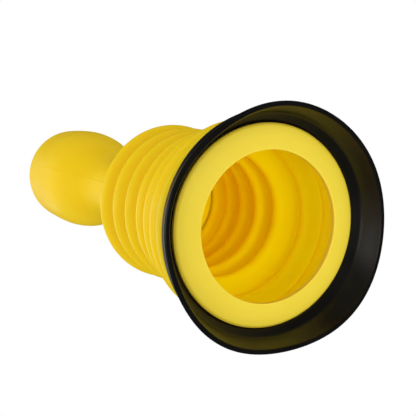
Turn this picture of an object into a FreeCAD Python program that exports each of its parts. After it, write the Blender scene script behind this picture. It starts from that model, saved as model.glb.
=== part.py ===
import FreeCAD, Part
import math
import os
import Sketcher

# A hand-held sink plunger, standing on its mouth with +Z along its axis. Millimetres.
# The origin is the centre of the mouth, on the plane that the rubber cup's rim rests on.
# A push on the handle folds the bellows towards the mouth and drives the air out of it.

SIZES = {
    # Rubber cup: a thick root band that grips the bellows, and a skirt that flares to the rim
    "rim_radius": 50.0,
    "rim_round": 0.9,
    "rim_land": 1.2,
    "bowl_radius": 44.7,
    "bowl_height": 8.6,
    "bowl_base": 11.6,
    "waist_radius": 46.4,
    "waist_height": 9.0,
    "root_inner_radius": 41.5,
    "root_outer_radius": 43.0,
    "root_top": 16.2,
    "press_gap": 0.1,
    # Front ring: its spigot presses into the mouth of the bellows and its lip traps the cup
    "ring_inner_radius": 30.8,
    "ring_outer_radius": 41.3,
    "ring_inner_face": 8.2,
    "ring_outer_face": 10.2,
    "ring_back": 13.0,
    "ring_inner_back": 10.6,
    "ring_edge_round": 1.6,
    "ring_hole_round": 0.4,
    "spigot_top": 17.2,
    "spigot_wall": 1.8,
    # Bellows: a blown tube with one wall all over. Folds are numbered from the mouth
    "bellows_wall": 1.5,
    "mouth_radius": 39.8,
    "mouth_top": 16.4,
    "fold_land": 1.6,
    "fold_round": 2.1,
    "crest_one_radius": 44.0,
    "crest_one_height": 21.0,
    "valley_one_radius": 39.6,
    "valley_one_height": 26.0,
    "crest_two_radius": 42.3,
    "crest_two_height": 31.0,
    "valley_two_radius": 35.6,
    "valley_two_height": 37.6,
    "crest_three_radius": 39.3,
    "crest_three_height": 44.0,
    "valley_three_radius": 29.2,
    "valley_three_height": 51.0,
    "crest_four_radius": 36.6,
    "crest_four_height": 57.8,
    "valley_four_radius": 27.6,
    "valley_four_height": 64.6,
    "crest_five_radius": 36.0,
    "crest_five_height": 71.4,
    "valley_five_radius": 27.6,
    "valley_five_height": 78.2,
    "crest_six_radius": 36.2,
    "crest_six_height": 85.0,
    "valley_six_radius": 27.6,
    "valley_six_height": 91.8,
    "crest_seven_radius": 37.0,
    "crest_seven_height": 98.5,
    "valley_seven_radius": 27.0,
    "valley_seven_height": 105.6,
    "shoulder_radius": 23.5,
    "shoulder_height": 110.4,
    "neck_radius": 17.0,
    "neck_base": 112.4,
    "neck_top": 126.0,
    # Seal washer and threaded stem: they join the handle to the bellows and keep the air in
    "washer_thickness": 2.0,
    "washer_radius": 18.0,
    "thread_gap": 0.35,
    "stem_bottom": 113.5,
    "stem_bore_radius": 12.0,
    "collar_radius": 18.6,
    "collar_thickness": 5.0,
    "collar_round": 1.2,
    "plug_length": 17.0,
    "plug_cap": 3.0,
    "plug_bore_radius": 8.0,
    # Handle: a hollow pear-shaped grip, open at its foot
    "handle_wall": 2.5,
    "foot_radius": 15.6,
    "foot_curve": 147.8,
    "grip_radius": 13.8,
    "grip_low": 156.0,
    "grip_high": 168.9,
    "flare_radius": 18.9,
    "flare_height": 185.2,
    "flare_curve": 28.4,
    "bulb_radius": 28.1,
    "bulb_height": 215.2,
    "bulb_curve": 53.3,
    "bulb_back_curve": 378.0,
    "bulb_end_radius": 26.6,
    "bulb_end_height": 250.6,
    "bulb_end_round": 11.5,
    "handle_top": 254.8,
    "handle_top_curve": 86.3,
    "inner_flare_inset": 2.05,
    "inner_flare_rise": 1.43,
    "inner_end_inset": 2.34,
    "inner_end_drop": 1.87,
}

FOLDS = ("one", "two", "three", "four", "five", "six", "seven")
ZERO = 0
CENTRE_LEFT = 1
CENTRE_RIGHT = -1
EDGE_TOLERANCE = 1e-4


class Length:
    """A length in millimetres, with the spreadsheet expression that drives it."""

    def __init__(self, value, text):
        self.value = value
        self.text = text

    def combined(self, other, sign):
        if isinstance(other, Length):
            return Length(self.value + sign * other.value, f"{self.text} {'+-'[sign < 0]} {other.text}")
        return Length(self.value + sign * other, f"{self.text} {'+-'[sign < 0]} {other}")

    def __add__(self, other):
        return self.combined(other, 1)

    def __sub__(self, other):
        return self.combined(other, -1)


class Sizes:
    """Every driving dimension as an attribute of the same name."""

    def __init__(self, sheet):
        for name in SIZES:
            setattr(self, name, Length(float(sheet.get(name)), f"Sizes.{name}"))


def make_sheet(doc):
    sheet = doc.addObject("Spreadsheet::Sheet", "Sizes")
    for row, (name, value) in enumerate(SIZES.items(), start=1):
        sheet.set(f"A{row}", name)
        sheet.set(f"B{row}", str(value))
        sheet.setAlias(f"B{row}", name)
    doc.recompute()
    return sheet


def arc_between(start, end, radius):
    """The shorter arc from start to end, with its centre to the left of the way for a positive radius."""
    chord = end - start
    half = chord.Length / 2
    rise = math.sqrt(radius * radius - half * half)
    left = FreeCAD.Vector(-chord.y, chord.x, 0).normalize()
    side = 1 if radius > 0 else -1
    centre = (start + end) / 2 + left * rise * side
    middle = centre - left * abs(radius) * side
    return Part.Arc(start, middle, end)


def draw_outline(body, name, corners):
    """A closed sketch on the body's XZ plane. Each corner is (radius, height), or (radius, height,
    curve, side) where an arc of radius curve leaves it with its centre on that side of the way."""
    sketch = body.newObject("Sketcher::SketchObject", name)
    plane = next(o for o in body.Origin.OriginFeatures if o.Role == "XZ_Plane")
    sketch.AttachmentSupport = (plane, "")
    sketch.MapMode = "FlatFace"
    places = [FreeCAD.Vector(number(c[0]), number(c[1]), 0) for c in corners]
    for i, corner in enumerate(corners):
        start, end = places[i], places[(i + 1) % len(places)]
        if len(corner) == 4:
            sketch.addGeometry(arc_between(start, end, corner[2].value * corner[3]), False)
        else:
            sketch.addGeometry(Part.LineSegment(start, end), False)
    # An arc that turns clockwise is stored the other way round, so its ends swap
    ends = [point_order(sketch, i, places[i]) for i in range(len(corners))]
    for i in range(len(corners)):
        after = (i + 1) % len(corners)
        sketch.addConstraint(Sketcher.Constraint("Coincident", i, ends[i][1], after, ends[after][0]))
    for i, corner in enumerate(corners):
        bind_point(sketch, i, ends[i][0], corner)
        if len(corner) == 4:
            bind(sketch, f"curve_{i}", corner[2], "Radius", i)
    return sketch


def number(length):
    return length.value if isinstance(length, Length) else float(length)


def point_order(sketch, index, start):
    """Which of an edge's two ends, 1 or 2, is its start, and which is its end."""
    return (1, 2) if sketch.getPoint(index, 1).isEqual(start, EDGE_TOLERANCE) else (2, 1)


def bind_point(sketch, index, point, corner):
    for kind, axis, length, letter in (
        ("DistanceX", -2, corner[0], "r"),
        ("DistanceY", -1, corner[1], "z"),
    ):
        if number(length) == 0:
            sketch.addConstraint(Sketcher.Constraint("PointOnObject", index, point, axis))
        else:
            bind(sketch, f"{letter}_{index}", length, kind, -1, 1, index, point)


def bind(sketch, name, length, kind, *places):
    added = sketch.addConstraint(Sketcher.Constraint(kind, *places, length.value))
    sketch.renameConstraint(added, name)
    sketch.setExpression(f"Constraints.{name}", length.text)


def new_body(doc, label):
    body = doc.addObject("PartDesign::Body", label)
    body.Label = label
    body.Placement = FreeCAD.Placement()
    return body


def revolve(doc, body, sketch, kind="PartDesign::Revolution"):
    turned = body.newObject(kind, f"{sketch.Name}_turned")
    turned.Profile = sketch
    turned.ReferenceAxis = (sketch, ["V_Axis"])
    turned.Angle = 360.0
    doc.recompute()
    return turned


def ring_edges(shape, wanted):
    """Names of the circular edges round Z for which wanted(radius, height) holds."""
    names = []
    for i, edge in enumerate(shape.Edges, start=1):
        if edge.Degenerated or not isinstance(edge.Curve, Part.Circle):
            continue
        if wanted(edge.Curve.Radius, edge.Curve.Center.z):
            names.append(f"Edge{i}")
    return names


def round_edges(doc, body, base, name, wanted, radius):
    edges = ring_edges(base.Shape, wanted)
    if not edges:
        raise RuntimeError(f"{name} found no edge")
    fillet = body.newObject("PartDesign::Fillet", name)
    fillet.Base = (base, edges)
    fillet.Radius = radius.value
    fillet.setExpression("Radius", radius.text)
    doc.recompute()
    return fillet


def hollow_out(doc, body, base, name, heights, wall):
    """Keeps a wall inside the faces of base and opens its flat faces at the given heights."""
    opened = []
    for i, face in enumerate(base.Shape.Faces, start=1):
        flat = isinstance(face.Surface, Part.Plane)
        if flat and any(abs(face.CenterOfMass.z - z.value) < EDGE_TOLERANCE for z in heights):
            opened.append(f"Face{i}")
    shell = body.newObject("PartDesign::Thickness", name)
    shell.Base = (base, opened)
    shell.Value = wall.value
    shell.setExpression("Value", wall.text)
    shell.Reversed = True
    doc.recompute()
    return shell


def near(value, length):
    return abs(value - length.value) < EDGE_TOLERANCE


def make_rubber_cup(doc, size):
    body = new_body(doc, "rubber_cup")
    seat_radius = size.mouth_radius + size.press_gap
    land_outside = size.rim_radius - size.rim_round
    sketch = draw_outline(body, "cup_outline", [
        (land_outside, ZERO),
        (size.rim_radius, size.rim_round),
        (size.waist_radius, size.waist_height),
        (size.root_outer_radius, size.root_top),
        (seat_radius, size.root_top),
        (seat_radius, size.ring_back),
        (size.root_inner_radius, size.ring_back),
        (size.root_inner_radius, size.bowl_base),
        (size.bowl_radius, size.bowl_height),
        (land_outside - size.rim_land, ZERO),
    ])
    revolve(doc, body, sketch)
    return body


def make_front_ring(doc, size):
    body = new_body(doc, "front_ring")
    spigot_outside = size.mouth_radius - size.bellows_wall - size.press_gap
    spigot_inside = spigot_outside - size.spigot_wall
    sketch = draw_outline(body, "ring_outline", [
        (size.ring_inner_radius, size.ring_inner_face),
        (size.ring_outer_radius, size.ring_outer_face),
        (size.ring_outer_radius, size.ring_back),
        (spigot_outside, size.ring_back),
        (spigot_outside, size.spigot_top),
        (spigot_inside, size.spigot_top),
        (spigot_inside, size.ring_back),
        (size.ring_inner_radius, size.ring_inner_back),
    ])
    ring = revolve(doc, body, sketch)
    ring = round_edges(doc, body, ring, "ring_edge", lambda radius, height: (
        near(radius, size.ring_outer_radius) and near(height, size.ring_outer_face)
    ), size.ring_edge_round)
    round_edges(doc, body, ring, "ring_hole_edge", lambda radius, height: (
        near(radius, size.ring_inner_radius) and near(height, size.ring_inner_face)
    ), size.ring_hole_round)
    return body


def make_bellows(doc, size):
    body = new_body(doc, "bellows")
    corners = [
        (ZERO, size.ring_back),
        (size.mouth_radius, size.ring_back),
        (size.mouth_radius, size.mouth_top),
    ]
    for fold in FOLDS:
        for part in ("crest", "valley"):
            radius = getattr(size, f"{part}_{fold}_radius")
            height = getattr(size, f"{part}_{fold}_height")
            corners.append((radius, height - size.fold_land))
            corners.append((radius, height + size.fold_land))
    corners += [
        (size.shoulder_radius, size.shoulder_height),
        (size.neck_radius, size.neck_base),
        (size.neck_radius, size.neck_top),
        (ZERO, size.neck_top),
    ]
    form = revolve(doc, body, draw_outline(body, "bellows_outline", corners))
    form = round_edges(doc, body, form, "fold_rounds", lambda radius, height: (
        size.mouth_top.value < height - EDGE_TOLERANCE and height < size.neck_top.value - EDGE_TOLERANCE
    ), size.fold_round)
    hollow_out(doc, body, form, "bellows_wall", (size.ring_back, size.neck_top), size.bellows_wall)
    return body


def make_seal_washer(doc, size):
    body = new_body(doc, "seal_washer")
    inside = size.neck_radius - size.bellows_wall
    top = size.neck_top + size.washer_thickness
    revolve(doc, body, draw_outline(body, "washer_outline", [
        (inside, size.neck_top),
        (size.washer_radius, size.neck_top),
        (size.washer_radius, top),
        (inside, top),
    ]))
    return body


def make_threaded_stem(doc, size):
    body = new_body(doc, "threaded_stem")
    barrel = size.neck_radius - size.bellows_wall - size.thread_gap
    plug = size.grip_radius - size.handle_wall - size.press_gap
    seat = size.neck_top + size.washer_thickness
    collar_top = seat + size.collar_thickness
    plug_top = collar_top + size.plug_length
    sketch = draw_outline(body, "stem_outline", [
        (size.stem_bore_radius, size.stem_bottom),
        (barrel, size.stem_bottom),
        (barrel, seat),
        (size.collar_radius, seat),
        (size.collar_radius, collar_top),
        (plug, collar_top),
        (plug, plug_top),
        (ZERO, plug_top),
        (ZERO, plug_top - size.plug_cap),
        (size.plug_bore_radius, plug_top - size.plug_cap),
        (size.plug_bore_radius, size.neck_top),
        (size.stem_bore_radius, size.neck_top),
    ])
    stem = revolve(doc, body, sketch)
    round_edges(doc, body, stem, "collar_edges", lambda radius, height: (
        near(radius, size.collar_radius)
    ), size.collar_round)
    return body


def make_handle(doc, size):
    body = new_body(doc, "handle")
    wall = size.handle_wall
    foot = size.neck_top + size.washer_thickness + size.collar_thickness
    inner_end_radius = size.bulb_end_radius - size.inner_end_inset
    inner_end_height = size.bulb_end_height - size.inner_end_drop
    sketch = draw_outline(body, "handle_outline", [
        (size.foot_radius - wall, foot),
        (size.foot_radius, foot, size.foot_curve, CENTRE_RIGHT),
        (size.grip_radius, size.grip_low),
        (size.grip_radius, size.grip_high, size.flare_curve, CENTRE_RIGHT),
        (size.flare_radius, size.flare_height, size.bulb_curve, CENTRE_LEFT),
        (size.bulb_radius, size.bulb_height, size.bulb_back_curve, CENTRE_LEFT),
        (size.bulb_end_radius, size.bulb_end_height, size.handle_top_curve, CENTRE_LEFT),
        (ZERO, size.handle_top),
        (ZERO, size.handle_top - wall, size.handle_top_curve - wall, CENTRE_RIGHT),
        (inner_end_radius, inner_end_height, size.bulb_back_curve - wall, CENTRE_RIGHT),
        (size.bulb_radius - wall, size.bulb_height, size.bulb_curve - wall, CENTRE_RIGHT),
        (size.flare_radius - size.inner_flare_inset, size.flare_height + size.inner_flare_rise,
         size.flare_curve + wall, CENTRE_LEFT),
        (size.grip_radius - wall, size.grip_high),
        (size.grip_radius - wall, size.grip_low, size.foot_curve + wall, CENTRE_LEFT),
    ])
    form = revolve(doc, body, sketch)
    form = round_edges(doc, body, form, "bulb_shoulder", lambda radius, height: (
        near(radius, size.bulb_end_radius) and near(height, size.bulb_end_height)
    ), size.bulb_end_round)
    round_edges(doc, body, form, "inner_shoulder", lambda radius, height: (
        near(radius, inner_end_radius) and near(height, inner_end_height)
    ), size.bulb_end_round - wall)
    return body


def check(doc, bodies):
    """Stops the build before anything is written if an object failed or a solid is bad."""
    for thing in doc.Objects:
        if "Invalid" in thing.State or "Error" in thing.State:
            raise RuntimeError(f"{thing.Name} is {thing.State}")
    for body in bodies:
        shape = body.Shape
        if shape.isNull() or not shape.isValid() or len(shape.Solids) != 1:
            raise RuntimeError(f"{body.Label} is not one valid solid")


def main():
    doc = FreeCAD.newDocument("sink_plunger")
    size = Sizes(make_sheet(doc))
    bodies = [
        make_rubber_cup(doc, size),
        make_front_ring(doc, size),
        make_bellows(doc, size),
        make_seal_washer(doc, size),
        make_threaded_stem(doc, size),
        make_handle(doc, size),
    ]
    doc.recompute()
    check(doc, bodies)
    os.makedirs("parts", exist_ok=True)
    for body in bodies:
        body.Shape.exportStep(f"parts/{body.Label}.step")
        print(f"{body.Label}: {body.Shape.Volume / 1000:.1f} cm3")


main()
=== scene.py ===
import math

import bmesh
import bpy
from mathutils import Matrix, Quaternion, Vector, noise


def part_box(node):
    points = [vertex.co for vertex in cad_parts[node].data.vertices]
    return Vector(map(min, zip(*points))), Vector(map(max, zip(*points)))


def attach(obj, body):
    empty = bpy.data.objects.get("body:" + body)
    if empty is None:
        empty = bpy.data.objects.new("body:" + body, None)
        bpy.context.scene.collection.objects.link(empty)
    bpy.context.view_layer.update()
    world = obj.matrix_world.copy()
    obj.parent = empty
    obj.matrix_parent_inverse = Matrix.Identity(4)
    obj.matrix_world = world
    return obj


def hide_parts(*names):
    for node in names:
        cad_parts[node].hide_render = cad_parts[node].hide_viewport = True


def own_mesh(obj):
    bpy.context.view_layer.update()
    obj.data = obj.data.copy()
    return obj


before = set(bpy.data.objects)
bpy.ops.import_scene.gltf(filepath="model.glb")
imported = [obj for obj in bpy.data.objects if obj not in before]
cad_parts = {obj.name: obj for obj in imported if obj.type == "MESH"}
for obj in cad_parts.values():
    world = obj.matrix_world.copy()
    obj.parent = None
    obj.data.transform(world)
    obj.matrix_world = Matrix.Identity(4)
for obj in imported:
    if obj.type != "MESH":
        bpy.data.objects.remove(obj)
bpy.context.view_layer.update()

MM = 0.001

# ---- Places, all from the frame ----
CUP_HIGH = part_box("rubber_cup")[1]
RING_LOW, RING_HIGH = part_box("front_ring")
BELLOWS_LOW, BELLOWS_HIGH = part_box("bellows")
WASHER_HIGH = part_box("seal_washer")[1]
STEM_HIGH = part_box("threaded_stem")[1]
HANDLE_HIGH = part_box("handle")[1]
RIM_RADIUS = CUP_HIGH.x

# ---- Mesh fineness ----
STEPS_ROUND = 192
PROFILE_STEP = 0.45 * MM
SHARP_ANGLE = math.radians(38)
LOOP_TOLERANCE = 1e-6

# ---- The mould's two halves meet on the YZ plane ----
SEAM_ANGLES = (-90.0, 90.0)
STEPS_BESIDE_SEAM = (0.0, 0.25, 0.5, 0.8, 1.2)    # degrees


# ---------------------------------------------------------------- outlines

def section(node):
    """The outline of a round node: (radius, height) points round its solid, cut on the XZ plane."""
    cut = bmesh.new()
    cut.from_mesh(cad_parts[node].data)
    bmesh.ops.remove_doubles(cut, verts=cut.verts, dist=LOOP_TOLERANCE)
    bmesh.ops.bisect_plane(
        cut, geom=cut.verts[:] + cut.edges[:] + cut.faces[:], dist=LOOP_TOLERANCE,
        plane_co=(0, 0, 0), plane_no=(0, 1, 0), clear_inner=True, clear_outer=True,
    )
    kept = [v for v in cut.verts if v.co.x > -LOOP_TOLERANCE and v.link_edges]
    start = min(kept, key=lambda v: (round(v.co.x, 6), v.co.z))
    loop, before = [start], None
    while True:
        here = loop[-1]
        ways = [e.other_vert(here) for e in here.link_edges]
        ways = [v for v in ways if v is not before and v.co.x > -LOOP_TOLERANCE]
        ways = [v for v in ways if v is start or v not in loop]
        if not ways or (ways[0] is start and len(loop) > 2):
            break
        before = here
        loop.append(ways[0])
    points = [(max(v.co.x, 0.0), v.co.z) for v in loop]
    cut.free()
    return points


def resample(points, step, closed=True):
    """Evenly spaced points along a line of (radius, height) points."""
    ring = points + [points[0]] if closed else points
    along = [0.0]
    for (r0, z0), (r1, z1) in zip(ring, ring[1:]):
        along.append(along[-1] + math.hypot(r1 - r0, z1 - z0))
    count = max(3, round(along[-1] / step))
    made, at = [], 0
    for i in range(count if closed else count + 1):
        want = along[-1] * i / count
        while at < len(ring) - 2 and along[at + 1] < want:
            at += 1
        span = along[at + 1] - along[at]
        share = (want - along[at]) / span if span > 0 else 0.0
        (r0, z0), (r1, z1) = ring[at], ring[at + 1]
        made.append((r0 + (r1 - r0) * share, z0 + (z1 - z0) * share))
    return made


def soften(points, rounds, closed=True):
    """Rounds the corners of evenly spaced points by averaging neighbours."""
    count = len(points)
    for _ in range(rounds):
        softer = []
        for i, (r, z) in enumerate(points):
            if not closed and i in (0, count - 1):
                softer.append((r, z))
                continue
            r0, z0 = points[i - 1]
            r1, z1 = points[(i + 1) % count]
            softer.append(((r0 + 2 * r + r1) / 4, (z0 + 2 * z + z1) / 4))
        points = softer
    return points


def walls(outline, height):
    """The inner and outer radius of a tube's wall at a height, from its closed outline."""
    found = []
    for (r0, z0), (r1, z1) in zip(outline, outline[1:] + outline[:1]):
        if min(z0, z1) <= height < max(z0, z1):
            found.append(r0 + (r1 - r0) * (height - z0) / (z1 - z0))
    return min(found), max(found)


def tube_slice(outline, low, high):
    """The closed outline of the stretch of a tube between two heights."""
    count = round((high - low) / PROFILE_STEP)
    heights = [low + (high - low) * i / count for i in range(count + 1)]
    heights[0] += LOOP_TOLERANCE
    heights[-1] -= LOOP_TOLERANCE
    sides = [walls(outline, z) for z in heights]
    outer = [(side[1], z) for side, z in zip(sides, heights)]
    inner = [(side[0], z) for side, z in zip(sides, heights)]
    return outer + inner[::-1]


# ---------------------------------------------------------------- meshes

def turn_angles():
    """Angles round the axis, closer together beside the two mould seams."""
    angles = {round(360.0 * i / STEPS_ROUND, 3) for i in range(STEPS_ROUND)}
    for seam in SEAM_ANGLES:
        for aside in STEPS_BESIDE_SEAM:
            angles.add(round((seam + aside) % 360, 3))
            angles.add(round((seam - aside) % 360, 3))
    return [math.radians(a) for a in sorted(angles)]


def lathe(name, outline, shape=None, closed=True):
    """Turns an outline round Z. shape(radius, height, angle) may move each point first."""
    angles = turn_angles()
    mesh = bmesh.new()
    columns = []
    poles = {}
    for angle in angles:
        column = []
        for index, (radius, height) in enumerate(outline):
            if radius < LOOP_TOLERANCE:
                if index not in poles:
                    poles[index] = mesh.verts.new((0, 0, height))
                column.append(poles[index])
                continue
            if shape:
                radius, height = shape(radius, height, angle)
            column.append(mesh.verts.new(
                (radius * math.cos(angle), radius * math.sin(angle), height)
            ))
        columns.append(column)
    last = len(outline) if closed else len(outline) - 1
    for here, there in zip(columns, columns[1:] + columns[:1]):
        for i in range(last):
            after = (i + 1) % len(outline)
            corners = []
            for vert in (here[i], there[i], there[after], here[after]):
                if vert not in corners:
                    corners.append(vert)
            if len(corners) > 2:
                mesh.faces.new(corners)
    bmesh.ops.recalc_face_normals(mesh, faces=mesh.faces[:])
    for face in mesh.faces:
        face.smooth = True
    for edge in mesh.edges:
        edge.smooth = edge.calc_face_angle(0.0) < SHARP_ANGLE
    data = bpy.data.meshes.new(name)
    mesh.to_mesh(data)
    mesh.free()
    made = bpy.data.objects.new(name, data)
    bpy.context.scene.collection.objects.link(made)
    return made


def seam_height(angle, tall, wide, radius):
    """How far a mould seam stands out at an angle: a narrow ridge at each of the two seams."""
    best = min(
        abs(math.remainder(angle - math.radians(seam), math.tau)) for seam in SEAM_ANGLES
    )
    return tall * math.exp(-((best * radius / wide) ** 2))


def wander(radius, height, angle, size, amount, seed):
    """A small smooth unevenness, as blown plastic has."""
    place = Vector((radius * math.cos(angle), radius * math.sin(angle), height)) / size
    return amount * noise.noise(place + Vector((seed, 0, 0)))


# ---------------------------------------------------------------- materials

def node_material(name):
    material = bpy.data.materials.new(name)
    material.use_nodes = True
    nodes = material.node_tree.nodes
    return material, nodes, material.node_tree.links, nodes["Principled BSDF"]


def noise_node(nodes, links, coordinates, scale, detail=3.0, stretch=None):
    """A noise texture on object coordinates, optionally stretched along an axis."""
    texture = nodes.new("ShaderNodeTexNoise")
    texture.inputs["Scale"].default_value = scale
    texture.inputs["Detail"].default_value = detail
    if stretch:
        mapping = nodes.new("ShaderNodeMapping")
        mapping.inputs["Scale"].default_value = stretch
        links.new(coordinates.outputs["Object"], mapping.inputs["Vector"])
        links.new(mapping.outputs["Vector"], texture.inputs["Vector"])
    else:
        links.new(coordinates.outputs["Object"], texture.inputs["Vector"])
    return texture


def ramp(nodes, links, source, low, high, at=(0.35, 0.65)):
    """Turns a 0 to 1 value into a colour between low and high."""
    made = nodes.new("ShaderNodeValToRGB")
    made.color_ramp.elements[0].position = at[0]
    made.color_ramp.elements[0].color = (*low, 1)
    made.color_ramp.elements[1].position = at[1]
    made.color_ramp.elements[1].color = (*high, 1)
    links.new(source, made.inputs["Fac"])
    return made.outputs["Color"]


def spread(nodes, links, source, low, high):
    """Turns a 0 to 1 value into one between low and high."""
    made = nodes.new("ShaderNodeMapRange")
    made.inputs["From Min"].default_value = 0.3
    made.inputs["From Max"].default_value = 0.7
    made.inputs["To Min"].default_value = low
    made.inputs["To Max"].default_value = high
    links.new(source, made.inputs["Value"])
    return made.outputs["Result"]


def bump(nodes, links, shader, layers):
    """Stacks bump layers. Each is (height output, depth in metres)."""
    normal = None
    for height, depth in layers:
        made = nodes.new("ShaderNodeBump")
        made.inputs["Strength"].default_value = 1.0
        made.inputs["Distance"].default_value = depth
        links.new(height, made.inputs["Height"])
        if normal:
            links.new(normal, made.inputs["Normal"])
        normal = made.outputs["Normal"]
    links.new(normal, shader.inputs["Normal"])


def yellow_plastic(name, pale, deep, rough, grain, translucence, reach, green=0.5, gloss=0.3, flow=None):
    """Blown or moulded polyethylene: a cloudy colour, satin skin and fine grain.

    Red light goes furthest inside it. green is how far green goes, as a share of that.
    """
    material, nodes, links, shader = node_material(name)
    place = nodes.new("ShaderNodeTexCoord")
    cloud = noise_node(nodes, links, place, 38.0, 2.0)
    fine = noise_node(nodes, links, place, 1500.0, 4.0)
    soft = noise_node(nodes, links, place, 120.0, 3.0, flow)
    colour = ramp(nodes, links, cloud.outputs["Fac"], deep, pale)
    roughness = spread(nodes, links, soft.outputs["Fac"], rough - 0.05, rough + 0.05)
    links.new(colour, shader.inputs["Base Color"])
    links.new(roughness, shader.inputs["Roughness"])
    bump(nodes, links, shader, (
        (fine.outputs["Fac"], grain),
        (soft.outputs["Fac"], grain * 2.5),
    ))
    shader.inputs["IOR"].default_value = 1.5
    shader.inputs["Specular IOR Level"].default_value = gloss
    shader.inputs["Subsurface Weight"].default_value = translucence
    shader.inputs["Subsurface Radius"].default_value = (1.0, green, 0.05)
    shader.inputs["Subsurface Scale"].default_value = reach
    return material


def black_rubber(name, colour, rough, grain):
    """Moulded black rubber: satin, with a faint bloom and fine grain."""
    material, nodes, links, shader = node_material(name)
    place = nodes.new("ShaderNodeTexCoord")
    bloom = noise_node(nodes, links, place, 55.0, 3.0)
    fine = noise_node(nodes, links, place, 1100.0, 4.0)
    soft = noise_node(nodes, links, place, 140.0, 3.0)
    bloomed = tuple(c * 1.6 for c in colour)
    cloudy = ramp(nodes, links, bloom.outputs["Fac"], colour, bloomed)
    roughness = spread(nodes, links, bloom.outputs["Fac"], rough - 0.05, rough + 0.06)
    links.new(cloudy, shader.inputs["Base Color"])
    links.new(roughness, shader.inputs["Roughness"])
    bump(nodes, links, shader, (
        (fine.outputs["Fac"], grain),
        (soft.outputs["Fac"], grain * 3.0),
    ))
    shader.inputs["IOR"].default_value = 1.52
    shader.inputs["Specular IOR Level"].default_value = 0.38
    return material


RUBBER = black_rubber("black_rubber", (0.003, 0.0028, 0.0026), rough=0.36, grain=0.012 * MM)
WASHER_RUBBER = black_rubber("washer_rubber", (0.009, 0.009, 0.009), rough=0.6, grain=0.02 * MM)
BELLOWS_PLASTIC = yellow_plastic(
    "bellows_plastic", (0.89, 0.64, 0.003), (0.87, 0.62, 0.002),
    rough=0.36, grain=0.010 * MM, translucence=0.4, reach=1.5 * MM, gloss=0.22,
)
# The inside of the folds is the bellows plastic again. Its base colour is brighter than the outside's:
# painted light standing in for light inside the folds.
BELLOWS_INSIDE_PAINTED_LIGHT = yellow_plastic(
    "bellows_inside_painted_light", (1.0, 0.74, 0.002), (1.0, 0.71, 0.001),
    rough=0.55, grain=0.010 * MM, translucence=1.0, reach=5 * MM, green=0.9, gloss=0.2,
)
RING_PLASTIC = yellow_plastic(
    "ring_plastic", (0.76, 0.59, 0.046), (0.74, 0.57, 0.038),
    rough=0.42, grain=0.010 * MM, translucence=0.3, reach=1.5 * MM,
)
STEM_PLASTIC = yellow_plastic(
    "stem_plastic", (0.92, 0.62, 0.008), (0.88, 0.58, 0.006),
    rough=0.35, grain=0.008 * MM, translucence=0.2, reach=1.5 * MM,
)
HANDLE_PLASTIC = yellow_plastic(
    "handle_plastic", (0.92, 0.62, 0.004), (0.89, 0.585, 0.003),
    rough=0.48, grain=0.022 * MM, translucence=0.3, reach=1.5 * MM, gloss=0.12, flow=(1.0, 1.0, 0.25),
)


# ---------------------------------------------------------------- pieces

def finish_piece(piece, body, material, node):
    piece.data.materials.append(material)
    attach(piece, body)
    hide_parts(node)


# The soft rim isn't a true circle. Each wave is (waves round the rim, height in mm, angle in degrees)
RIM_WAVES = ((1, 0.9, 90), (2, 0.3, 160), (3, 0.35, 0), (4, 0.4, 55), (5, 0.4, -110))
RIM_SPREAD = 0.35 * MM
WAVY_HEIGHT = 0.62
WAIST_BULGE = 0.9 * MM
WAIST_REACH = 4 * MM
BULGE_ANGLE = math.radians(-65)


def rim_wave(angle):
    total = RIM_SPREAD
    for count, tall, turn in RIM_WAVES:
        total += tall * MM * math.cos(count * angle - math.radians(turn))
    return total


def make_cup():
    """The skirt: its rim waves, and its waist bulges on one side."""
    outline = soften(resample(section("rubber_cup"), 0.3 * MM), 5)
    skirt = CUP_HIGH.z * WAVY_HEIGHT

    def shape(radius, height, angle):
        share = max(0.0, min(1.0, 1.0 - height / skirt))
        share = share * share * (3 - 2 * share)
        waist = math.exp(-(((height - skirt) / WAIST_REACH) ** 2))
        bulge = WAIST_BULGE * waist * (0.5 + 0.5 * math.cos(angle - BULGE_ANGLE))
        return radius + rim_wave(angle) * share + bulge, height

    cup = lathe("cup", outline, shape)
    finish_piece(cup, "mouth", RUBBER, "rubber_cup")


WELD_DEPTH = 0.06 * MM
WELD_WIDTH = 0.35 * MM
FACE_SHARE = 0.3
ROLL_OFF = 0.5 * MM
ROLL_OFF_WIDTH = 5 * MM


def make_ring():
    """The flat ring: a faint weld line crosses its face, and the face rolls off at its outer edge."""
    outline = soften(resample(section("front_ring"), 0.2 * MM), 1)
    face_top = RING_LOW.z + FACE_SHARE * (RING_HIGH.z - RING_LOW.z)

    def shape(radius, height, angle):
        if height >= face_top:
            return radius, height
        weld = math.remainder(angle - math.radians(SEAM_ANGLES[0]), math.tau) * radius
        groove = WELD_DEPTH * math.exp(-((weld / WELD_WIDTH) ** 2))
        near_edge = max(0.0, 1 - (RING_HIGH.x - radius) / ROLL_OFF_WIDTH)
        return radius, height + groove + ROLL_OFF * near_edge ** 2

    ring = lathe("ring", outline, shape)
    finish_piece(ring, "mouth", RING_PLASTIC, "front_ring")


def straight_bands(outline):
    """The upright stretches of a tube's wall, as (radius, middle height) pairs."""
    bands = []
    for (r0, z0), (r1, z1) in zip(outline, outline[1:] + outline[:1]):
        if abs(r1 - r0) < LOOP_TOLERANCE and abs(z1 - z0) > 0.4 * MM:
            bands.append((r0, (z0 + z1) / 2))
    return bands


FOLD_ROUNDS = 18
SHARP_ENDS = 2 * MM


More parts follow.
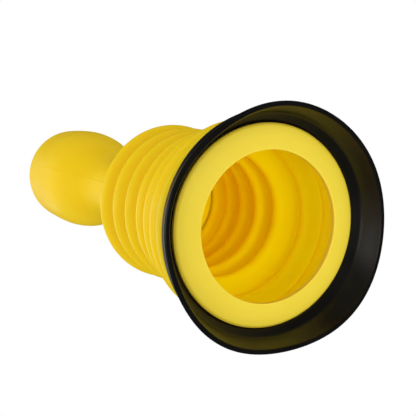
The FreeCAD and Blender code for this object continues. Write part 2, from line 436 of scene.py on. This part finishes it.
def make_bellows():
    """Three pieces: one stays with the mouth, the folds ride the mouth too on a mesh of their own, and
    the neck moves with the grip.
    """
    outline = section("bellows")
    bands = straight_bands(outline)
    even = resample(outline, 0.3 * MM)
    outline = [
        softer if BELLOWS_LOW.z + SHARP_ENDS < given[1] < BELLOWS_HIGH.z - SHARP_ENDS else given
        for given, softer in zip(even, soften(even, FOLD_ROUNDS))
    ]
    first_crest = max(bands)[1]
    last_valley = max(z for r, z in bands if r > WASHER_HIGH.x)

    def shape(radius, height, angle):
        moved = wander(radius, height, angle, size=35 * MM, amount=0.12 * MM, seed=3.0)
        return radius + moved + seam_height(angle, 0.05 * MM, 0.5 * MM, radius), height

    for name, low, high, body in (
        ("bellows_mouth", BELLOWS_LOW.z, first_crest, "mouth"),
        ("bellows_folds", first_crest, last_valley, "mouth"),
        ("bellows_neck", last_valley, BELLOWS_HIGH.z, "grip"),
    ):
        piece = lathe(name, tube_slice(outline, low, high), shape)
        finish_piece(piece, body, BELLOWS_PLASTIC, "bellows")
        # Inner faces get the brighter inside copy of the plastic: painted light inside the folds.
        piece.data.materials.append(BELLOWS_INSIDE_PAINTED_LIGHT)
        for face in piece.data.polygons:
            outward = face.normal.x * face.center.x + face.normal.y * face.center.y
            face.material_index = int(outward < 0)
        if name == "bellows_folds":
            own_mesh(piece)


def make_washer():
    washer = lathe("washer", soften(resample(section("seal_washer"), 0.15 * MM), 2))
    finish_piece(washer, "grip", WASHER_RUBBER, "seal_washer")


COLLAR_RIBS = 30
RIB_DEPTH = 0.45 * MM
RIBBED_DEPTH = 0.4 * MM


def make_stem():
    """The stem: its collar has small grooves between ribs for the fingers."""
    outline = resample(section("threaded_stem"), 0.3 * MM, closed=False)

    def shape(radius, height, angle):
        if radius > STEM_HIGH.x - RIBBED_DEPTH:
            radius -= RIB_DEPTH * (0.5 - 0.5 * math.cos(COLLAR_RIBS * angle)) ** 3
        return radius, height

    stem = lathe("stem", outline, shape, closed=False)
    finish_piece(stem, "grip", STEM_PLASTIC, "threaded_stem")


SEAM_HEIGHT = 0.16 * MM
DIP_DEPTH = 0.22 * MM
DIP_BELOW_WIDEST = 6 * MM
DIP_REACH = 5 * MM


def make_handle():
    """The grip. Its seam dies out beyond the widest place, below which a shallow dip runs round."""
    outline = soften(resample(section("handle"), 0.8 * MM, closed=False), 2, closed=False)
    widest = max(outline)[1]

    def shape(radius, height, angle):
        moved = wander(radius, height, angle, size=45 * MM, amount=0.25 * MM, seed=9.0)
        seam = max(0.0, min(1.0, (widest + 5 * MM - height) / (20 * MM)))
        moved += seam_height(angle, SEAM_HEIGHT * seam, 0.4 * MM, radius)
        moved -= DIP_DEPTH * math.exp(-(((height - widest + DIP_BELOW_WIDEST) / DIP_REACH) ** 2))
        return radius + moved, height

    handle = lathe("grip_handle", outline, shape, closed=False)
    finish_piece(handle, "grip", HANDLE_PLASTIC, "handle")


# ---------------------------------------------------------------- camera, light and floor

# The camera looks up into the mouth from off the axis. Distances are in rim radii
CAMERA_PLACE = Vector((0.0, -3.886, -5.827))
CAMERA_AIM = Vector((0.0236, 0.0, 1.242))
CAMERA_ROLL = math.radians(-75.4)
CAMERA_LENS_MM = 77.9
SENSOR_MM = 36.0


def make_camera():
    camera = bpy.data.objects.new("camera", bpy.data.cameras.new("camera"))
    bpy.context.scene.collection.objects.link(camera)
    camera.data.lens = CAMERA_LENS_MM
    camera.data.sensor_width = SENSOR_MM
    camera.data.clip_start = 10 * MM
    camera.location = CAMERA_PLACE * RIM_RADIUS
    ahead = (CAMERA_AIM - CAMERA_PLACE).normalized()
    camera.rotation_mode = "QUATERNION"
    camera.rotation_quaternion = ahead.to_track_quat("-Z", "Y") @ Quaternion((0, 0, 1), CAMERA_ROLL)
    bpy.context.scene.camera = camera
    bpy.context.view_layer.update()
    return camera


def softbox(name, place, target, wide, tall, power):
    """A rectangular light at a place, turned to a target. Its power is in watts."""
    light = bpy.data.lights.new(name, "AREA")
    light.shape = "RECTANGLE"
    light.size = wide
    light.size_y = tall
    light.energy = power
    made = bpy.data.objects.new(name, light)
    bpy.context.scene.collection.objects.link(made)
    made.location = place
    made.rotation_mode = "QUATERNION"
    made.rotation_quaternion = (target - place).to_track_quat("-Z", "Y")
    return made


def light_the_scene(camera):
    """Softboxes placed by the camera's own right, up and back, one overhead and one under the mouth."""
    turn = camera.matrix_world.to_3x3()
    right, up, back = turn @ Vector((1, 0, 0)), turn @ Vector((0, 1, 0)), turn @ Vector((0, 0, 1))
    middle = Vector((0, 0, HANDLE_HIGH.z * 0.3))
    softbox("key", middle - right * 0.9 - up * 0.05 + back * 0.8, middle, 0.6, 0.8, 3)
    softbox("overhead", Vector((-0.35, -0.45, 1.0)), middle, 0.9, 0.9, 3)
    front = softbox("front", middle + back * 1.2, middle, 0.5, 0.5, 0.5)
    mouth = softbox("mouth_light", Vector((0, 0, -0.9)), middle, 0.4, 0.4, 4.6)
    for light in (front, mouth):
        light.visible_glossy = False
        light.visible_camera = False


SURROUND_TO_CAMERA = 1.0
SURROUND_IN_GLOSS = 0.035
SURROUND_AS_LIGHT = 0.74


def make_world():
    """A surround that is white to the camera, pale as a light, and dark in reflections."""
    world = bpy.data.worlds.new("surround")
    bpy.context.scene.world = world
    world.use_nodes = True
    nodes, links = world.node_tree.nodes, world.node_tree.links
    nodes.remove(nodes["Background"])
    paths = nodes.new("ShaderNodeLightPath")

    def surround(strength):
        made = nodes.new("ShaderNodeBackground")
        made.inputs["Color"].default_value = (1, 1, 1, 1)
        made.inputs["Strength"].default_value = strength
        return made.outputs["Background"]

    def choose(ray, if_not, if_so):
        mix = nodes.new("ShaderNodeMixShader")
        links.new(paths.outputs[ray], mix.inputs["Fac"])
        links.new(if_not, mix.inputs[1])
        links.new(if_so, mix.inputs[2])
        return mix.outputs["Shader"]

    lit = choose("Is Glossy Ray", surround(SURROUND_AS_LIGHT), surround(SURROUND_IN_GLOSS))
    seen = choose("Is Camera Ray", lit, surround(SURROUND_TO_CAMERA))
    links.new(seen, nodes["World Output"].inputs["Surface"])


def make_floor():
    """A pale floor under the rim, seen from above only, so that a view from below isn't blocked."""
    data = bpy.data.meshes.new("floor")
    half = 3.0
    corners = [(-half, -half, 0), (half, -half, 0), (half, half, 0), (-half, half, 0)]
    data.from_pydata(corners, [], [(0, 1, 2, 3)])
    floor = bpy.data.objects.new("floor", data)
    bpy.context.scene.collection.objects.link(floor)
    material, nodes, links, shader = node_material("pale_floor")
    shader.inputs["Base Color"].default_value = (0.88, 0.88, 0.87, 1)
    shader.inputs["Emission Color"].default_value = (1, 1, 1, 1)
    shader.inputs["Emission Strength"].default_value = 0.3
    shader.inputs["Roughness"].default_value = 0.7
    side = nodes.new("ShaderNodeNewGeometry")
    clear = nodes.new("ShaderNodeBsdfTransparent")
    mix = nodes.new("ShaderNodeMixShader")
    links.new(side.outputs["Backfacing"], mix.inputs["Fac"])
    links.new(shader.outputs["BSDF"], mix.inputs[1])
    links.new(clear.outputs["BSDF"], mix.inputs[2])
    links.new(mix.outputs["Shader"], nodes["Material Output"].inputs["Surface"])
    data.materials.append(material)
    floor.visible_shadow = False
    floor.visible_diffuse = False
    floor.visible_glossy = False


bpy.context.scene.view_settings.view_transform = "Standard"
bpy.context.scene.cycles.diffuse_bounces = 12    # the folds are lit by light that bounces inside them
light_the_scene(make_camera())
make_world()
make_floor()
make_cup()
make_ring()
make_bellows()
make_washer()
make_stem()
make_handle()
